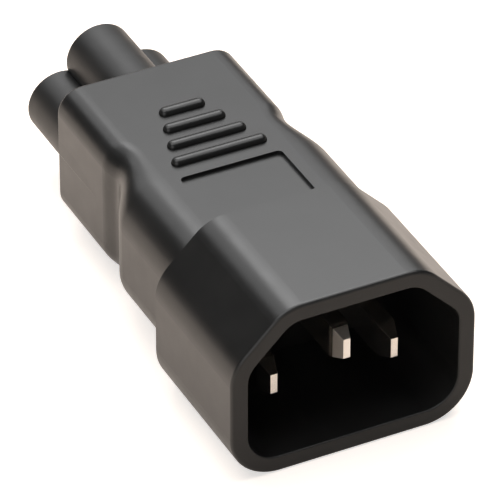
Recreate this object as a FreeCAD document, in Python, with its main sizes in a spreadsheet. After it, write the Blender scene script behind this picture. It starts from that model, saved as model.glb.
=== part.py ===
import FreeCAD, Part
import math
import os
import Sketcher

# Mains adapter: a C14 plug shroud with three blades at the front, a moulded grip in the middle
# and a C5 cloverleaf socket nose at the rear. Millimetres, +Z up. The plug mouth faces -Y, the socket
# faces +Y and X = 0 is the plane of symmetry. Z = 0 is the underside of the shroud, and Y = 0 is halfway
# along. Each piece is drawn with Y counted from the plug's rim, then placed half the length forward.

SIZES = [
    # Plug shroud
    ("plug_width", 28.2, "shroud width across the flat sides"),
    ("plug_height", 20.4, "shroud height"),
    ("plug_length", 18.2, "rim to the shroud's rear face"),
    ("shroud_wall", 1.95, "wall around the mouth"),
    ("plug_chamfer", 6.1, "leg of the two top corner chamfers"),
    ("plug_top_radius", 5.0, "rounding between top and chamfer"),
    ("plug_side_radius", 5.0, "rounding between chamfer and side"),
    ("plug_bottom_radius", 5.6, "rounding of the two lower corners"),
    ("mouth_depth", 16.4, "rim to the floor of the mouth"),
    ("mouth_top_radius", 3.0, "mouth rounding between top and chamfer"),
    ("mouth_side_radius", 3.0, "mouth rounding between chamfer and side"),
    ("mouth_bottom_radius", 3.6, "mouth rounding of the lower corners"),
    ("rim_outer_fillet", 0.4, "outer edge of the rim"),
    ("rim_inner_fillet", 0.2, "inner edge of the rim"),
    ("shroud_rear_bevel", 0.4, "rear edge of the shroud"),
    ("stem_width", 20.0, "stem behind the shroud that the grip is moulded over"),
    ("stem_height", 10.4, "height of that stem"),
    ("stem_length", 4.0, "length of that stem"),
    # Blades
    ("blade_thickness", 2.0, "blade thickness"),
    ("blade_height", 4.0, "blade height"),
    ("blade_pitch", 14.0, "line to neutral blade"),
    ("live_height", 7.7, "line and neutral above the underside, at both ends"),
    ("earth_blade_rise", 4.0, "earth blade above the other two"),
    ("live_recess", 4.5, "rim to the tips of line and neutral"),
    ("earth_recess", 1.8, "rim to the tip of earth"),
    ("tip_length", 2.0, "length of the bevelled tip"),
    ("tip_thickness", 0.8, "flat of the tip, across"),
    ("tip_height", 2.4, "flat of the tip, up"),
    ("tail_thickness", 1.2, "solder tail thickness"),
    ("tail_height", 2.4, "solder tail height"),
    ("tail_length", 3.0, "solder tail behind the stem"),
    # Moulded grip
    ("grip_height", 15.7, "height of the grip and neck"),
    ("grip_width", 25.1, "width behind the shroud"),
    ("grip_upper_radius", 5.2, "upper long edges behind the shroud"),
    ("grip_lower_radius", 4.6, "lower long edges behind the shroud"),
    ("waist_width", 20.5, "narrowest width"),
    ("waist_upper_radius", 3.0, "upper long edges at the waist"),
    ("waist_lower_radius", 2.6, "lower long edges at the waist"),
    ("neck_width", 21.4, "width of the neck"),
    ("neck_upper_radius", 2.9, "upper long edges of the neck"),
    ("neck_lower_radius", 2.7, "lower long edges of the neck"),
    ("shoulder_start", 29.2, "rim to where the grip begins to narrow"),
    ("waist_in", 6.0, "shoulder to waist"),
    ("waist_out", 2.8, "waist to where the neck is straight"),
    ("neck_length", 11.4, "straight neck, to its rear face"),
    ("neck_end_fillet", 0.3, "edge of the neck's rear face"),
    ("recess_width", 12.0, "label recess, across"),
    ("recess_length", 9.0, "label recess, along"),
    ("recess_depth", 0.4, "label recess depth"),
    ("recess_radius", 0.6, "label recess corners"),
    ("recess_land", 0.4, "land between the shoulder and the label recess"),
    ("rib_count", 4, "grip ribs"),
    ("rib_first", 2.2, "shoulder to the longest rib"),
    ("rib_pitch", 3.02, "spacing of the ribs"),
    ("rib_longest", 11.2, "length of the longest rib"),
    ("rib_step", 1.93, "each rib is this much shorter than the one before"),
    ("rib_radius", 0.7, "each rib is half a round bar with ball ends"),
    # Socket nose
    ("lobe_radius", 3.9, "each of the three lobes"),
    ("contact_pitch", 9.6, "line to neutral contact"),
    ("earth_contact_rise", 4.75, "earth contact above the other two"),
    ("nose_length", 12.6, "neck's rear face to the nose's end"),
    ("nose_root", 6.0, "depth of the nose in the neck"),
    ("nose_end_bevel", 0.2, "edge of the nose's end"),
    ("web_depth", 2.6, "filled middle below the line and neutral centres"),
    ("contact_recess", 1.2, "nose's end to the mouth of a contact"),
    ("entry_chamfer", 0.35, "lead-in of the contact holes"),
    ("contact_radius", 1.5, "outside of a contact sleeve, and the hole that holds it"),
    ("contact_bore", 1.2, "inside of a contact sleeve"),
    ("contact_depth", 11.0, "bore length of a contact"),
    ("contact_slit", 0.5, "spring slit of a contact"),
    ("contact_tail_radius", 1.1, "crimp tail of a contact"),
    ("contact_tail", 3.0, "length of the crimp tail behind the nose's root"),
    ("lead_radius", 1.0, "conductor between a blade and a contact"),
]

LOFT_STEPS = 4

document = FreeCAD.newDocument("power_adapter")
sheet = document.addObject("Spreadsheet::Sheet", "Sizes")
for row, (alias, value, note) in enumerate(SIZES, 1):
    sheet.set(f"A{row}", alias)
    sheet.set(f"B{row}", str(value))
    sheet.setAlias(f"B{row}", alias)
    sheet.set(f"C{row}", note)
document.recompute()


# Size expressions

def size(expression):
    """Value of a size expression now, in millimetres."""
    return float(sheet.evalExpression(expression))


def cell(name):
    return f"Sizes.{name}"


MID_HEIGHT = "(Sizes.plug_height / 2)"
GRIP_TOP = f"({MID_HEIGHT} + Sizes.grip_height / 2)"
STEM_END = "(Sizes.plug_length + Sizes.stem_length)"
BLADE_TAIL_END = f"({STEM_END} + Sizes.tail_length)"
WAIST = "(Sizes.shoulder_start + Sizes.waist_in)"
NECK_START = f"({WAIST} + Sizes.waist_out)"
NECK_END = f"({NECK_START} + Sizes.neck_length)"
NOSE_START = f"({NECK_END} - Sizes.nose_root)"
NOSE_END = f"({NECK_END} + Sizes.nose_length)"
CONTACT_MOUTH = f"({NOSE_END} - Sizes.contact_recess)"
CONTACT_TAIL_END = f"({NOSE_START} - Sizes.contact_tail)"

EARTH_BLADE = "(Sizes.live_height + Sizes.earth_blade_rise)"
EARTH_CONTACT = "(Sizes.live_height + Sizes.earth_contact_rise)"

# Each pole: blade place, contact place (across and up) and how far its blade's tip is behind the rim
POLES = {
    "line": (("-Sizes.blade_pitch / 2", cell("live_height")),
             ("-Sizes.contact_pitch / 2", cell("live_height")), cell("live_recess")),
    "neutral": (("Sizes.blade_pitch / 2", cell("live_height")),
                ("Sizes.contact_pitch / 2", cell("live_height")), cell("live_recess")),
    "earth": (("0", EARTH_BLADE), ("0", EARTH_CONTACT), cell("earth_recess")),
}


# Sketches

def new_body(label):
    body = document.addObject("PartDesign::Body", label)
    body.Label = label
    body.setExpression("Placement.Base.y", f"-{NOSE_END} / 2")
    return body


def new_sketch(body, name, role, offset="0"):
    sketch = body.newObject("Sketcher::SketchObject", name)
    plane = next(item for item in body.Origin.OriginFeatures if item.Role == role)
    sketch.AttachmentSupport = [(plane, "")]
    sketch.MapMode = "FlatFace"
    sketch.setExpression("AttachmentOffset.Base.z", offset)
    return sketch


def cross_sketch(body, name, place):
    """Sketch across the adapter, at a distance behind the rim; its axes are X and Z."""
    return new_sketch(body, name, "XZ_Plane", f"-{place}")


def bind(sketch, kind, *geometry, expression):
    index = sketch.addConstraint(Sketcher.Constraint(kind, *geometry, size(expression)))
    sketch.setExpression(f"Constraints[{index}]", expression)


def bind_point(sketch, geometry, position, across, up):
    bind(sketch, "DistanceX", -1, 1, geometry, position, expression=across)
    bind(sketch, "DistanceY", -1, 1, geometry, position, expression=up)


def flat(across, up):
    return FreeCAD.Vector(size(across), size(up), 0)


def draw_outline(sketch, corners):
    """Closed outline of straight sides through corners, each a pair of expressions."""
    first = sketch.GeometryCount
    count = len(corners)
    for index in range(count):
        start, end = corners[index], corners[(index + 1) % count]
        sketch.addGeometry(Part.LineSegment(flat(*start), flat(*end)))
    for index in range(count):
        following = first + (index + 1) % count
        sketch.addConstraint(Sketcher.Constraint("Coincident", first + index, 2, following, 1))
    for index, corner in enumerate(corners):
        bind_point(sketch, first + index, 1, *corner)


def draw_rectangle(sketch, centre, width, height):
    across, up = centre
    left, right = f"{across} - {width} / 2", f"{across} + {width} / 2"
    low, high = f"{up} - {height} / 2", f"{up} + {height} / 2"
    draw_outline(sketch, [(left, low), (right, low), (right, high), (left, high)])


def draw_circle(sketch, centre, radius):
    index = sketch.addGeometry(Part.Circle(flat(*centre), FreeCAD.Vector(0, 0, 1), size(radius)))
    bind_point(sketch, index, 3, *centre)
    bind(sketch, "Radius", index, expression=radius)


def draw_arcs_joined(sketch, centres, radii, start_angle):
    """Closed outline of equal turns about centres, in order, joined by straight sides that touch them."""
    count = len(centres)
    turn = 2 * math.pi / count
    first = sketch.GeometryCount
    for index, (centre, radius) in enumerate(zip(centres, radii)):
        begin = start_angle + turn * index
        circle = Part.Circle(flat(*centre), FreeCAD.Vector(0, 0, 1), size(radius))
        sketch.addGeometry(Part.ArcOfCircle(circle, begin, begin + turn))
    for index in range(count):
        angle = start_angle + turn * (index + 1)
        outward = FreeCAD.Vector(math.cos(angle), math.sin(angle), 0)
        following = (index + 1) % count
        start = flat(*centres[index]) + outward * size(radii[index])
        end = flat(*centres[following]) + outward * size(radii[following])
        sketch.addGeometry(Part.LineSegment(start, end))
    for index in range(count):
        arc, side, following = first + index, first + count + index, first + (index + 1) % count
        sketch.addConstraint(Sketcher.Constraint("Tangent", arc, 2, side, 1))
        sketch.addConstraint(Sketcher.Constraint("Tangent", side, 2, following, 1))
    for index, (centre, radius) in enumerate(zip(centres, radii)):
        bind_point(sketch, first + index, 3, *centre)
        bind(sketch, "Radius", first + index, expression=radius)


def draw_rounded_rectangle(sketch, centre, width, height, upper, lower):
    """Rectangle with one radius at its two upper corners and another at its two lower corners."""
    across, up = centre
    high, low = f"{up} + {height} / 2 - {upper}", f"{up} - {height} / 2 + {lower}"
    high_reach, low_reach = f"({width} / 2 - {upper})", f"({width} / 2 - {lower})"
    centres = [(f"{across} + {high_reach}", high), (f"{across} - {high_reach}", high),
               (f"{across} - {low_reach}", low), (f"{across} + {low_reach}", low)]
    draw_arcs_joined(sketch, centres, [upper, upper, lower, lower], 0.0)


def draw_half_bar(sketch, length, radius):
    """Half outline of a bar with round ends, its straight side on the sketch's level axis."""
    reach = f"({length} / 2 - {radius})"
    normal = FreeCAD.Vector(0, 0, 1)
    ends = []
    for across, begin in [(reach, 0.0), (f"-{reach}", math.pi / 2)]:
        circle = Part.Circle(flat(across, "0"), normal, size(radius))
        ends.append(sketch.addGeometry(Part.ArcOfCircle(circle, begin, begin + math.pi / 2)))
        bind_point(sketch, ends[-1], 3, across, "0")
        bind(sketch, "Radius", ends[-1], expression=radius)
    right, left = ends
    crest = sketch.addGeometry(Part.LineSegment(flat(reach, radius), flat(f"-{reach}", radius)))
    base = sketch.addGeometry(Part.LineSegment(flat(f"-{length} / 2", "0"), flat(f"{length} / 2", "0")))
    sketch.addConstraint(Sketcher.Constraint("Tangent", right, 2, crest, 1))
    sketch.addConstraint(Sketcher.Constraint("Tangent", crest, 2, left, 1))
    sketch.addConstraint(Sketcher.Constraint("Coincident", left, 2, base, 1))
    sketch.addConstraint(Sketcher.Constraint("Coincident", base, 2, right, 1))
    sketch.addConstraint(Sketcher.Constraint("PointOnObject", base, 1, -1))
    sketch.addConstraint(Sketcher.Constraint("PointOnObject", base, 2, -1))


# Features

def pad(body, name, sketch, length):
    """Pad of a cross sketch towards the rear."""
    feature = body.newObject("PartDesign::Pad", name)
    feature.Profile = sketch
    feature.setExpression("Length", length)
    feature.Reversed = True
    document.recompute()


def pocket(body, name, sketch, depth):
    """Pocket of a sketch: a cross sketch cuts towards the rear, a level one downwards."""
    before = body.Shape.Volume
    feature = body.newObject("PartDesign::Pocket", name)
    feature.Profile = sketch
    feature.setExpression("Length", depth)
    document.recompute()
    if not body.Shape.Volume < before:
        raise RuntimeError(f"{name} cuts nothing")


def half_turn(body, name, sketch):
    """Half turn of a sketch about its level axis, upwards."""
    feature = body.newObject("PartDesign::Revolution", name)
    feature.Profile = sketch
    feature.ReferenceAxis = (sketch, ["H_Axis"])
    feature.Angle = 180
    document.recompute()


def loft(body, name, sketches):
    feature = body.newObject("PartDesign::AdditiveLoft", name)
    feature.Profile = sketches[0]
    feature.Sections = sketches[1:]
    document.recompute()


def dress_edges(body, kind, name, measure, amount, wanted):
    """Fillet or chamfer of the edges of the body's last feature that the test wanted picks."""
    base = body.Tip
    names = [f"Edge{index}" for index, edge in enumerate(base.Shape.Edges, 1) if wanted(edge)]
    feature = body.newObject(f"PartDesign::{kind}", name)
    feature.Base = (base, names)
    feature.setExpression(measure, amount)
    document.recompute()


def round_edges(body, name, radius, wanted):
    dress_edges(body, "Fillet", name, "Radius", radius, wanted)


def bevel_edges(body, name, leg, wanted):
    dress_edges(body, "Chamfer", name, "Size", leg, wanted)


NEAR = 0.01


def lies_at(shape, place):
    """Whether an edge or face lies wholly in the cross plane at a distance behind the rim."""
    box = shape.BoundBox
    return abs(box.YMin - place) < NEAR and abs(box.YMax - place) < NEAR


def runs_along(edge, across, up):
    """Whether an edge runs along Y at a place across and up."""
    box = edge.BoundBox
    level = box.XLength < NEAR and box.ZLength < NEAR
    return level and abs(abs(box.XMin) - across) < NEAR and abs(box.ZMin - up) < NEAR


# Plug shroud

def plug_outline(inset):
    """Outline of the plug with chamfered top corners, moved in by a wall."""
    side = f"(Sizes.plug_width / 2 - {inset})"
    low = inset
    high = f"(Sizes.plug_height - {inset})"
    mitre = f"{inset} * tan(22.5 deg)"
    chamfer_side = f"(Sizes.plug_height - Sizes.plug_chamfer - {mitre})"
    chamfer_top = f"(Sizes.plug_width / 2 - Sizes.plug_chamfer - {mitre})"
    return {"bottom": (side, low), "side": (side, chamfer_side), "top": (chamfer_top, high)}


def draw_plug_outline(sketch, corners):
    right = [corners["bottom"], corners["side"], corners["top"]]
    left = [(f"-{across}", up) for across, up in reversed(right)]
    draw_outline(sketch, right + left)


def round_plug_corners(body, prefix, corners):
    for corner, place in corners.items():
        across, up = size(place[0]), size(place[1])
        round_edges(body, f"{prefix}_{corner}_rounding", cell(f"{prefix}_{corner}_radius"),
                    lambda edge: runs_along(edge, across, up))


def rim_edges(shape):
    """Edges of the flat rim: those round the mouth and those of its outer outline."""
    rim = next(face for face in shape.Faces if lies_at(face, 0))
    mouth = [edge for wire in rim.Wires if not wire.isSame(rim.OuterWire) for edge in wire.Edges]
    return mouth, rim.OuterWire.Edges


def is_among(edge, edges):
    return any(edge.isSame(other) for other in edges)


def make_plug_shroud():
    body = new_body("plug_shroud")
    outer = plug_outline("0")
    sketch = cross_sketch(body, "shroud_outline", "0")
    draw_plug_outline(sketch, outer)
    pad(body, "shroud_block", sketch, cell("plug_length"))
    round_plug_corners(body, "plug", outer)
    rear = size(cell("plug_length"))
    bevel_edges(body, "shroud_rear_edge", cell("shroud_rear_bevel"), lambda edge: lies_at(edge, rear))

    mouth = plug_outline(cell("shroud_wall"))
    sketch = cross_sketch(body, "mouth_outline", "0")
    draw_plug_outline(sketch, mouth)
    pocket(body, "mouth", sketch, cell("mouth_depth"))
    round_plug_corners(body, "mouth", mouth)

    mouth_edges, _ = rim_edges(body.Tip.Shape)
    round_edges(body, "rim_inner_edge", cell("rim_inner_fillet"), lambda edge: is_among(edge, mouth_edges))
    _, outer_edges = rim_edges(body.Tip.Shape)
    round_edges(body, "rim_outer_edge", cell("rim_outer_fillet"), lambda edge: is_among(edge, outer_edges))

    sketch = cross_sketch(body, "stem_outline", cell("plug_length"))
    draw_rectangle(sketch, ("0", MID_HEIGHT), cell("stem_width"), cell("stem_height"))
    pad(body, "stem", sketch, cell("stem_length"))

    sketch = cross_sketch(body, "blade_slots", cell("mouth_depth"))
    for blade, _, _ in POLES.values():
        draw_rectangle(sketch, blade, cell("blade_thickness"), cell("blade_height"))
    pocket(body, "blade_openings", sketch, f"{STEM_END} - Sizes.mouth_depth")
    return body


# Blades

def make_blade(pole):
    blade, _, recess = POLES[pole]
    body = new_body(f"{pole}_pin")
    shoulder = f"({recess} + Sizes.tip_length)"

    tip = cross_sketch(body, f"{pole}_tip", recess)
    draw_rectangle(tip, blade, cell("tip_thickness"), cell("tip_height"))
    full = cross_sketch(body, f"{pole}_tip_root", shoulder)
    draw_rectangle(full, blade, cell("blade_thickness"), cell("blade_height"))
    loft(body, f"{pole}_bevel", [tip, full])

    shank = cross_sketch(body, f"{pole}_shank_outline", shoulder)
    draw_rectangle(shank, blade, cell("blade_thickness"), cell("blade_height"))
    pad(body, f"{pole}_shank", shank, f"{STEM_END} - {shoulder}")

    tail = cross_sketch(body, f"{pole}_tail_outline", STEM_END)
    draw_rectangle(tail, blade, cell("tail_thickness"), cell("tail_height"))
    pad(body, f"{pole}_tail", tail, cell("tail_length"))
    return body


# Socket nose

def draw_web(sketch, inset):
    """Filled middle of the cloverleaf, between the three lobes' centres and down to its flat underside."""
    low = f"(Sizes.live_height - Sizes.web_depth + {inset})"
    line, neutral, earth = (contact for _, contact, _ in POLES.values())
    draw_outline(sketch, [(line[0], low), (neutral[0], low), neutral, earth, line])


def add_nose_form(body, name, draw):
    """One form of the nose, drawn by draw(sketch, inset), with a bevel at its free end."""
    bevel_start = f"({NOSE_END} - Sizes.nose_end_bevel)"
    sketch = cross_sketch(body, f"{name}_outline", NOSE_START)
    draw(sketch, "0")
    pad(body, name, sketch, f"{bevel_start} - {NOSE_START}")
    full = cross_sketch(body, f"{name}_bevel_root", bevel_start)
    draw(full, "0")
    end = cross_sketch(body, f"{name}_end", NOSE_END)
    draw(end, cell("nose_end_bevel"))
    loft(body, f"{name}_bevel", [full, end])


def make_socket_insert():
    body = new_body("socket_insert")
    for pole, (_, contact, _) in POLES.items():
        add_nose_form(body, f"{pole}_lobe", lambda sketch, inset: draw_circle(
            sketch, contact, f"(Sizes.lobe_radius - {inset})"))
    add_nose_form(body, "web", draw_web)

    sketch = cross_sketch(body, "contact_holes_outline", NOSE_START)
    for _, contact, _ in POLES.values():
        draw_circle(sketch, contact, cell("contact_radius"))
    pocket(body, "contact_holes", sketch, f"{NOSE_END} - {NOSE_START}")

    end = size(NOSE_END)
    hole = 2 * size(cell("contact_radius"))
    bevel_edges(body, "entry_lead_in", cell("entry_chamfer"),
                lambda edge: lies_at(edge, end) and abs(edge.BoundBox.XLength - hole) < NEAR)
    return body


# Contacts and leads

def make_contact(pole):
    _, contact, _ = POLES[pole]
    body = new_body(f"{pole}_contact")
    sketch = cross_sketch(body, f"{pole}_sleeve_outline", NOSE_START)
    draw_circle(sketch, contact, cell("contact_radius"))
    pad(body, f"{pole}_sleeve", sketch, f"{CONTACT_MOUTH} - {NOSE_START}")

    sketch = cross_sketch(body, f"{pole}_crimp_outline", CONTACT_TAIL_END)
    draw_circle(sketch, contact, cell("contact_tail_radius"))
    pad(body, f"{pole}_crimp", sketch, cell("contact_tail"))

    bore_floor = f"({CONTACT_MOUTH} - Sizes.contact_depth)"
    sketch = cross_sketch(body, f"{pole}_bore_outline", bore_floor)
    draw_circle(sketch, contact, cell("contact_bore"))
    pocket(body, f"{pole}_bore", sketch, cell("contact_depth"))

    across, up = contact
    reach = "Sizes.contact_radius"
    sketch = cross_sketch(body, f"{pole}_slit_outline", bore_floor)
    draw_rectangle(sketch, (across, f"{up} + {reach} / 2"), cell("contact_slit"), reach)
    pocket(body, f"{pole}_slit", sketch, cell("contact_depth"))
    return body


def make_lead(pole):
    blade, contact, _ = POLES[pole]
    body = new_body(f"{pole}_lead")
    front = cross_sketch(body, f"{pole}_lead_front", BLADE_TAIL_END)
    draw_circle(front, blade, cell("lead_radius"))
    rear = cross_sketch(body, f"{pole}_lead_rear", CONTACT_TAIL_END)
    draw_circle(rear, contact, cell("lead_radius"))
    loft(body, f"{pole}_wire", [front, rear])
    return body


# Moulded grip

def blend(start, end, share):
    """Expression that eases from one size to another, level at both ends."""
    eased = (1 - math.cos(math.pi * share)) / 2
    return f"({start} + ({end} - {start}) * {eased:.6f})"


def between(start, end, share):
    return f"({start} + ({end} - {start}) * {share:.6f})"


def section_sizes(stretch):
    """Width, upper radius and lower radius of the grip's cross-section in one stretch."""
    return [cell(f"{stretch}_{name}") for name in ("width", "upper_radius", "lower_radius")]


def waist_stations():
    """Place and sizes of each cross-section from shoulder to neck, easing in to the waist and out."""
    stations = [(cell("shoulder_start"), section_sizes("grip"))]
    for stretch, start, following, end in [("grip", cell("shoulder_start"), "waist", WAIST),
                                           ("waist", WAIST, "neck", NECK_START)]:
        pairs = list(zip(section_sizes(stretch), section_sizes(following)))
        for step in range(1, LOFT_STEPS + 1):
            share = step / LOFT_STEPS
            place = between(start, end, share)
            stations.append((place, [blend(old, new, share) for old, new in pairs]))
    return stations


def grip_section(body, name, place, sizes):
    width, upper, lower = sizes
    sketch = cross_sketch(body, name, place)
    draw_rounded_rectangle(sketch, ("0", MID_HEIGHT), width, cell("grip_height"), upper, lower)
    return sketch


def make_grip():
    """Outside of the moulded grip, still solid where other pieces sit in it."""
    body = new_body("grip_outside")
    outline = grip_section(body, "grip_outline", cell("plug_length"), section_sizes("grip"))
    pad(body, "grip_block", outline, "Sizes.shoulder_start - Sizes.plug_length")
    loft(body, "waist", [grip_section(body, f"waist_section_{number}", place, sizes)
                         for number, (place, sizes) in enumerate(waist_stations())])
    outline = grip_section(body, "neck_outline", NECK_START, section_sizes("neck"))
    pad(body, "neck", outline, cell("neck_length"))
    rear = size(NECK_END)
    round_edges(body, "neck_end_edge", cell("neck_end_fillet"), lambda edge: lies_at(edge, rear))

    recess_middle = "Sizes.shoulder_start - Sizes.recess_land - Sizes.recess_length / 2"
    sketch = new_sketch(body, "recess_outline", "XY_Plane", GRIP_TOP)
    draw_rounded_rectangle(sketch, ("0", f"({recess_middle})"), cell("recess_width"),
                           cell("recess_length"), cell("recess_radius"), cell("recess_radius"))
    pocket(body, "label_recess", sketch, cell("recess_depth"))

    for number in range(int(size(cell("rib_count")))):
        sketch = new_sketch(body, f"rib_{number}_outline", "XY_Plane", GRIP_TOP)
        place = f"Sizes.shoulder_start + Sizes.rib_first + {number} * Sizes.rib_pitch"
        sketch.setExpression("AttachmentOffset.Base.y", place)
        draw_half_bar(sketch, f"(Sizes.rib_longest - {number} * Sizes.rib_step)", cell("rib_radius"))
        half_turn(body, f"rib_{number}", sketch)
    return body


def make_overmould(embedded):
    """The grip as moulded round the stem, tails, leads and nose that it holds."""
    held = document.addObject("Part::MultiFuse", "held_pieces")
    held.Shapes = embedded
    overmould = document.addObject("Part::Cut", "grip_overmould")
    overmould.Base = make_grip()
    overmould.Tool = held
    overmould.Label = "grip_overmould"
    document.recompute()
    return overmould


plug_shroud = make_plug_shroud()
blades = [make_blade(pole) for pole in POLES]
socket_insert = make_socket_insert()
contacts = [make_contact(pole) for pole in POLES]
leads = [make_lead(pole) for pole in POLES]
grip_overmould = make_overmould([plug_shroud, socket_insert] + blades + contacts + leads)
pieces = [plug_shroud, grip_overmould, socket_insert] + blades + contacts + leads
document.recompute()

for item in document.Objects:
    if "Invalid" in item.State or "Error" in item.State:
        raise RuntimeError(f"{item.Label} failed: {item.State}")
for piece in pieces:
    if piece.Shape.isNull() or not piece.Shape.isValid():
        raise RuntimeError(f"{piece.Label} has no valid shape")

os.makedirs("parts", exist_ok=True)
for piece in pieces:
    piece.Shape.exportStep(f"parts/{piece.Label}.step")
    print(piece.Label, len(piece.Shape.Solids), round(piece.Shape.Volume, 2), piece.Shape.BoundBox)
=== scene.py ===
import math

import bmesh
import bpy
from mathutils import Matrix, Vector


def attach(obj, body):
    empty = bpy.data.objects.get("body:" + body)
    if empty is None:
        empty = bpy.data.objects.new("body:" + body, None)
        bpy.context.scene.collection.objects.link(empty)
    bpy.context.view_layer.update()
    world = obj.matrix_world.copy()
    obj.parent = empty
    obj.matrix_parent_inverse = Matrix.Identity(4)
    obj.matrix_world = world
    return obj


# Moulded mains adapter: a shrouded plug with three blades, a waisted grip and a cloverleaf socket nose.
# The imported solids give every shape; this script adds finishes, fine edges, the mould seam and the studio.

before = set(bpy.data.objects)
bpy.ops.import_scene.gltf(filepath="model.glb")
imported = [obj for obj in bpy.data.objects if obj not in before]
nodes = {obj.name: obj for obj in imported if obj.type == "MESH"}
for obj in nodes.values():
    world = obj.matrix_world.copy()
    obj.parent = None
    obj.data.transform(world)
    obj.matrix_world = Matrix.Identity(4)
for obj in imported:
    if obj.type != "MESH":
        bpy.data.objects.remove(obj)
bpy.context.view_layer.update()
scene = bpy.context.scene

MM = 0.001
POLES = ("line", "neutral", "earth")


def linear(hex_colour):
    """Linear red, green, blue and alpha of an sRGB hex colour."""
    channels = [int(hex_colour[start:start + 2], 16) / 255 for start in (0, 2, 4)]
    return [c / 12.92 if c <= 0.04045 else ((c + 0.055) / 1.055) ** 2.4 for c in channels] + [1.0]


def per(size_mm):
    """Texture scale at which a pattern repeats about every so many millimetres."""
    return 1 / (size_mm * MM)


def add(tree, kind, inputs=None, **settings):
    """Adds a shader node; an input is a value, or the socket of another node that it is linked to."""
    node = tree.nodes.new(f"ShaderNode{kind}")
    for name, value in settings.items():
        setattr(node, name, value)
    for name, value in (inputs or {}).items():
        if isinstance(value, bpy.types.NodeSocket):
            tree.links.new(value, node.inputs[name])
        else:
            node.inputs[name].default_value = value
    return node


def start_material(name):
    """New material, its node tree and the socket that gives places on the piece."""
    material = bpy.data.materials.new(name)
    material.use_nodes = True
    tree = material.node_tree
    tree.nodes.clear()
    return material, tree, add(tree, "TexCoord").outputs["Object"]


# Finishes

FADE_MM = 0.1


def dull_front(tree, place, rough, ends_mm, dull):
    """Roughness that is dull at the front, as far back as ends_mm along Y, and then fades to rough."""
    along = add(tree, "SeparateXYZ", {"Vector": place}).outputs["Y"]
    return add(tree, "MapRange", {"Value": along, "To Min": dull, "To Max": rough, "From Min": ends_mm * MM,
                                  "From Max": (ends_mm + FADE_MM) * MM}).outputs["Result"]


def moulded_plastic(name, tones, gloss, peel_depth, grain_mm, grain_depth, dull_to=None):
    """Black plastic from a steel mould. Its colour drifts a little along the flow of the melt, its gloss
    varies slightly with the mould's polish, and its skin has a shallow orange peel with a fine grain."""
    flow_mm, patch_mm, peel_mm = 6.0, 2.5, 1.8
    material, tree, place = start_material(name)
    flow = add(tree, "TexNoise", {"Vector": place, "Scale": per(flow_mm), "Detail": 3.0, "Roughness": 0.55})
    tone = add(tree, "ValToRGB", {"Fac": flow.outputs["Fac"]})
    for stop, colour in zip(tone.color_ramp.elements, tones):
        stop.color = linear(colour)
    tone.color_ramp.elements[0].position = 0.35
    tone.color_ramp.elements[1].position = 0.68
    patches = add(tree, "TexNoise", {"Vector": place, "Scale": per(patch_mm), "Detail": 2.0})
    rough = add(tree, "MapRange", {"Value": patches.outputs["Fac"], "From Min": 0.3, "From Max": 0.7,
                                   "To Min": gloss[0], "To Max": gloss[1]}).outputs["Result"]
    if dull_to:
        rough = dull_front(tree, place, rough, *dull_to)
    peel = add(tree, "TexNoise", {"Vector": place, "Scale": per(peel_mm), "Detail": 1.0})
    skin = add(tree, "Bump", {"Height": peel.outputs["Fac"], "Distance": peel_depth * MM, "Strength": 1.0})
    grain = add(tree, "TexNoise", {"Vector": place, "Scale": per(grain_mm), "Detail": 2.0})
    skin = add(tree, "Bump", {"Height": grain.outputs["Fac"], "Distance": grain_depth * MM, "Strength": 1.0,
                              "Normal": skin.outputs["Normal"]})
    shader = add(tree, "BsdfPrincipled", {"Base Color": tone.outputs["Color"], "Roughness": rough,
                                          "Normal": skin.outputs["Normal"]})
    add(tree, "OutputMaterial", {"Surface": shader.outputs["BSDF"]})
    return material


def drawn_metal(name, tones, gloss, line_mm, line_depth, dull_to=None):
    """Strip metal drawn along the adapter: bright, with fine lines and slightly uneven plating that run
    the length of the piece. The lines are coarser than real ones, which are too fine to show."""
    cloud_mm, stretch = 2.5, 0.02
    material, tree, place = start_material(name)
    along = add(tree, "Mapping", {"Vector": place, "Scale": (1.0, stretch, 1.0)}).outputs["Vector"]
    lines = add(tree, "TexNoise", {"Vector": along, "Scale": per(line_mm), "Detail": 2.0})
    cloud = add(tree, "TexNoise", {"Vector": place, "Scale": per(cloud_mm), "Detail": 2.0})
    tone = add(tree, "ValToRGB", {"Fac": cloud.outputs["Fac"]})
    for stop, colour in zip(tone.color_ramp.elements, tones):
        stop.color = linear(colour)
    tone.color_ramp.elements[0].position = 0.3
    tone.color_ramp.elements[1].position = 0.7
    rough = add(tree, "MapRange", {"Value": lines.outputs["Fac"], "From Min": 0.3, "From Max": 0.7,
                                   "To Min": gloss[0], "To Max": gloss[1]}).outputs["Result"]
    if dull_to:
        rough = dull_front(tree, place, rough, *dull_to)
    skin = add(tree, "Bump", {"Height": lines.outputs["Fac"], "Distance": line_depth * MM, "Strength": 1.0})
    shader = add(tree, "BsdfPrincipled", {"Base Color": tone.outputs["Color"], "Roughness": rough,
                                          "Metallic": 1.0, "Normal": skin.outputs["Normal"]})
    add(tree, "OutputMaterial", {"Surface": shader.outputs["BSDF"]})
    return material


# Hard PBT of the plug shroud, from a finely blasted mould: black with a satin gloss, duller on the rim.
shroud_pbt = moulded_plastic("moulded_pbt_satin", ("171717", "1c1c1c"), (0.28, 0.32), 0.0012, 0.3, 0.0010,
                             (-30.96, 0.62))
# Soft PVC moulded over the middle: a touch duller and greyer than the shroud.
grip_pvc = moulded_plastic("moulded_pvc_satin", ("171717", "1d1d1d"), (0.28, 0.33), 0.0014, 0.32, 0.0013)
# Nylon of the nose: from a more coarsely blasted mould, so its reflections are broader and duller.
nose_nylon = moulded_plastic("moulded_nylon_satin", ("161616", "1b1b1b"), (0.40, 0.46), 0.0012, 0.3, 0.0010)
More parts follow.
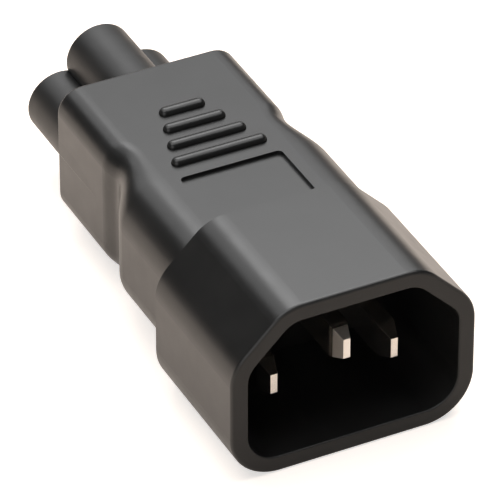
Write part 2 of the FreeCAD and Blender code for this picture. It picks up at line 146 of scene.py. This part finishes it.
# Nickel-plated brass blades: a warm white metal. Only the earth blade reaches into the dull front, because
# its tip looks duller than the other two in the photograph.
blade_nickel = drawn_metal("nickel_plated_brass", ("ece4da", "f8f2ec"), (0.22, 0.27), 0.09, 0.0003,
                           (-27.75, 0.5))
# Bare brass of the spring sleeves, seen in the entry holes.
contact_brass = drawn_metal("drawn_brass", ("b08a45", "cda85f"), (0.22, 0.36), 0.09, 0.0012)
# Bare copper conductors inside the grip.
lead_copper = drawn_metal("annealed_copper", ("a8603c", "c4774d"), (0.28, 0.42), 0.2, 0.004)


def finish(node_name, material):
    """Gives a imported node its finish."""
    mesh = nodes[node_name].data
    mesh.materials.clear()
    mesh.materials.append(material)


finish("plug_shroud", shroud_pbt)
finish("grip_overmould", grip_pvc)
finish("socket_insert", nose_nylon)
for pole in POLES:
    finish(f"{pole}_pin", blade_nickel)
    finish(f"{pole}_contact", contact_brass)
    finish(f"{pole}_lead", lead_copper)

# Blade edges are rolled over slightly by the press tool. Faces are joined first, so that they share edges.
BLADE_EDGE = 0.12 * MM
JOIN_WITHIN = 0.002 * MM
SHARP_FROM = math.radians(20)
for pole in POLES:
    blade = nodes[f"{pole}_pin"]
    weld = blade.modifiers.new("join_faces", "WELD")
    weld.merge_threshold = JOIN_WITHIN
    edge = blade.modifiers.new("rolled_edges", "BEVEL")
    edge.width = BLADE_EDGE
    edge.segments = 2
    edge.limit_method = "ANGLE"
    edge.angle_limit = SHARP_FROM


# Mould seam

def make_mould_seam():
    """Fine step along both sides of the neck at half height, where the two mould halves met: a gentle slope
    out to a crest, and a short steep edge under it that catches the light. It dies away near the waist."""
    side, level, front, rear = 10.7 * MM, 10.2 * MM, 8.0 * MM, 18.1 * MM
    above, below, height, sunk = 4.0 * MM, 0.24 * MM, 0.04 * MM, 0.05 * MM
    seam = bmesh.new()
    for hand in (-1, 1):
        base = hand * (side - sunk)
        corners = [seam.verts.new((base, along, level + rise))
                   for along in (front, rear) for rise in (above, -below)]
        corners.append(seam.verts.new((hand * side, front, level)))
        corners.append(seam.verts.new((hand * (side + height), rear, level)))
        bmesh.ops.convex_hull(seam, input=corners)
    mesh = bpy.data.meshes.new("mould_seam")
    seam.to_mesh(mesh)
    seam.free()
    piece = bpy.data.objects.new("mould_seam", mesh)
    scene.collection.objects.link(piece)
    mesh.materials.append(grip_pvc)
    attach(piece, "root")


make_mould_seam()


# Studio

def make_floor():
    """White table in metres, with a low cove all round that hides the dark studio from low views."""
    radius, rise, cove = 1.2, 0.17, 0.12
    floor = bmesh.new()
    bmesh.ops.create_circle(floor, cap_ends=True, radius=radius, segments=128)
    rim = [edge for edge in floor.edges if edge.is_boundary]
    walls = bmesh.ops.extrude_edge_only(floor, edges=rim)["geom"]
    raised = [part for part in walls if isinstance(part, bmesh.types.BMVert)]
    bmesh.ops.translate(floor, verts=raised, vec=(0, 0, rise))
    foot = [edge for edge in floor.edges if not edge.is_boundary
            and all(abs(vert.co.z) < MM for vert in edge.verts)]
    bmesh.ops.bevel(floor, geom=foot, offset=cove, affect="EDGES", segments=12, profile=0.5, material=-1)
    bmesh.ops.recalc_face_normals(floor, faces=floor.faces[:])
    for face in floor.faces:
        face.smooth = True
    mesh = bpy.data.meshes.new("floor")
    floor.to_mesh(mesh)
    floor.free()
    piece = bpy.data.objects.new("floor", mesh)
    scene.collection.objects.link(piece)
    mesh.materials.append(white_table())


def white_table():
    """Matt warm-white board. To the camera and in reflections it also glows a little, so that it reads as
    plain white, and its lit part still darkens in the adapter's shadow."""
    fibre_mm, reflected_glow, seen_glow = 4.0, 0.15, 0.6
    material, tree, place = start_material("matt_white_board")
    fibres = add(tree, "TexNoise", {"Vector": place, "Scale": per(fibre_mm), "Detail": 2.0})
    tone = add(tree, "ValToRGB", {"Fac": fibres.outputs["Fac"]})
    for stop, colour in zip(tone.color_ramp.elements, ("f2e2d4", "f5e5d7")):
        stop.color = linear(colour)
    board = add(tree, "BsdfDiffuse", {"Color": tone.outputs["Color"]}).outputs["BSDF"]
    path = add(tree, "LightPath").outputs
    level = add(tree, "MapRange", {"Value": path["Is Camera Ray"], "To Min": reflected_glow,
                                   "To Max": seen_glow})
    glow = add(tree, "Emission", {"Strength": level.outputs["Result"]}).outputs["Emission"]
    shown = add(tree, "AddShader", {0: board, 1: glow}).outputs["Shader"]
    seen = add(tree, "Math", {0: path["Is Camera Ray"], 1: path["Is Glossy Ray"]}, operation="MAXIMUM")
    seen = add(tree, "Math", {0: seen.outputs["Value"], 1: path["Is Transmission Ray"]}, operation="MAXIMUM")
    mixed = add(tree, "MixShader", {0: seen.outputs["Value"], 1: board, 2: shown})
    add(tree, "OutputMaterial", {"Surface": mixed.outputs["Shader"]})
    return material


def towards(azimuth, elevation):
    """Direction from the adapter, azimuth counted from +Y towards +X, in degrees."""
    turn, rise = math.radians(azimuth), math.radians(elevation)
    return Vector((math.sin(turn) * math.cos(rise), math.cos(turn) * math.cos(rise), math.sin(rise)))


LAMP_DISTANCE = 0.4


def add_softbox(name, direction, width, height, brightness):
    """Rectangular softbox that faces the adapter, its width and height in metres. Its power goes with its
    area, so that brightness is how bright it looks, whatever its size."""
    lamp = bpy.data.lights.new(name, "AREA")
    lamp.shape = "RECTANGLE"
    lamp.size, lamp.size_y = width, height
    lamp.energy = brightness * math.pi * width * height
    box = bpy.data.objects.new(name, lamp)
    box.location = direction * LAMP_DISTANCE
    box.rotation_euler = direction.to_track_quat("Z", "Y").to_euler()
    box.visible_camera = False
    scene.collection.objects.link(box)


make_floor()
# The softboxes are placed so that the plastics and blades show the photograph's reflections.
add_softbox("back_softbox", towards(11, 41), 0.51, 0.21, 1.85)
add_softbox("key_softbox", towards(20, 56), 0.24, 0.15, 4.7)
add_softbox("overhead_softbox", towards(0, 89), 0.66, 0.36, 2.5)
add_softbox("right_softbox", towards(44, 21), 0.155, 0.09, 0.7)
add_softbox("left_card", towards(226, 26), 0.30, 0.20, 1.6)

world = bpy.data.worlds.new("dark_studio")
world.use_nodes = True
world.node_tree.nodes["Background"].inputs["Color"].default_value = linear("404040")
world.node_tree.nodes["Background"].inputs["Strength"].default_value = 1.0
scene.world = world
scene.view_settings.view_transform = "Standard"


def place_camera():
    """Camera at the photograph's angle: azimuth and elevation in degrees, aim and distance in metres."""
    aim = Vector((-0.0011, -0.00913, 0.01164))
    turn, rise, distance = math.radians(-26.481), math.radians(35.558), 0.53806
    back = Vector((math.sin(turn) * math.cos(rise), -math.cos(turn) * math.cos(rise), math.sin(rise)))
    right = Vector((math.cos(turn), math.sin(turn), 0.0))
    lens = bpy.data.cameras.new("camera")
    lens.sensor_fit = "HORIZONTAL"
    lens.sensor_width = 36.0
    lens.lens = 367.69
    lens.clip_start, lens.clip_end = 0.01, 10.0
    camera = bpy.data.objects.new("camera", lens)
    turned = Matrix((right, back.cross(right), back)).transposed().to_4x4()
    camera.matrix_world = Matrix.Translation(aim + back * distance) @ turned
    scene.collection.objects.link(camera)
    scene.camera = camera


place_camera()
